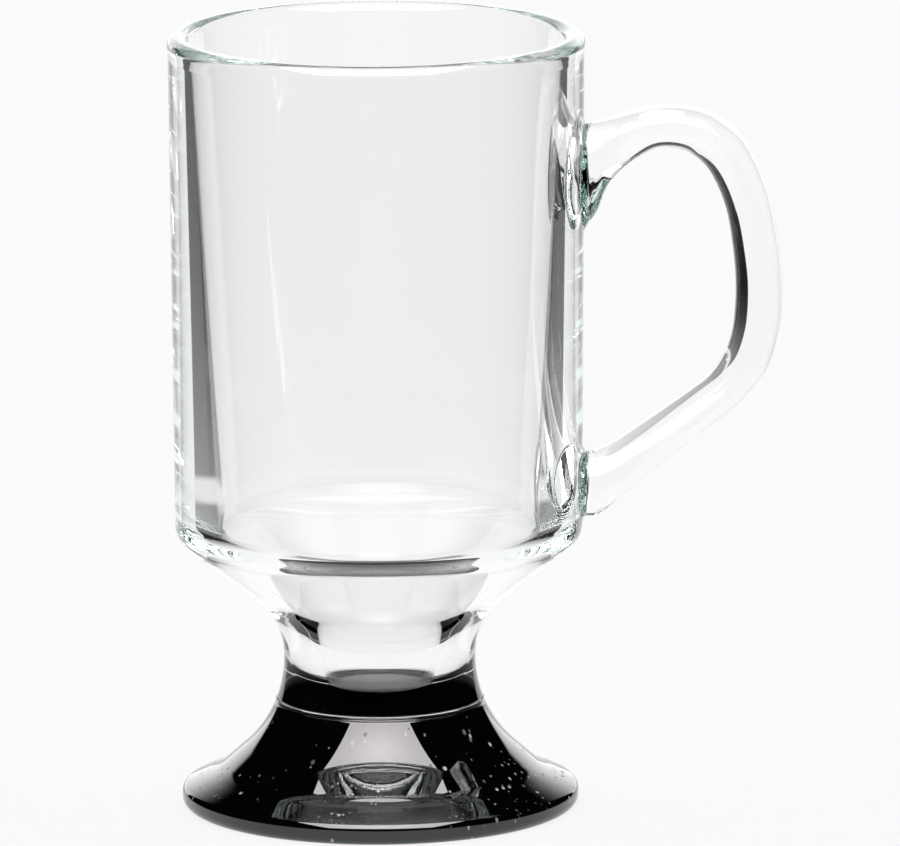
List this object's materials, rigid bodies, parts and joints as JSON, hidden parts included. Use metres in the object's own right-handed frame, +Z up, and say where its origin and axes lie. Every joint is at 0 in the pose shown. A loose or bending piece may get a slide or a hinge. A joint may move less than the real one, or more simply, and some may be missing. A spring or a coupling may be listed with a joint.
{
  "type": "footed glass mug",
  "caption": "Tall clear glass mug with a fused side handle, a waisted stem with a well inside it, and a flared black foot, for hot drinks with cream.",
  "frame": {"origin": "on the table, below the middle of the whole outline, handle included, so the bowl's axis stands 17.85 mm to the -X side of it", "axes": "+Z up along the bowl's axis, +X the way the handle points, Y across the handle"},
  "size_m": [0.1118, 0.076, 0.143],
  "materials": {
    "clear_glass": "clear pressed glass, fire polished, very faintly green in its thick edges",
    "black_glass": "opaque black glass, glossy",
    "handle_glass": "clear pressed glass, fire polished"
  },
  "bodies": {
    "root": {"bowl": "clear_glass", "foot": "black_glass", "handle": "handle_glass"}
  },
  "joints": []
}
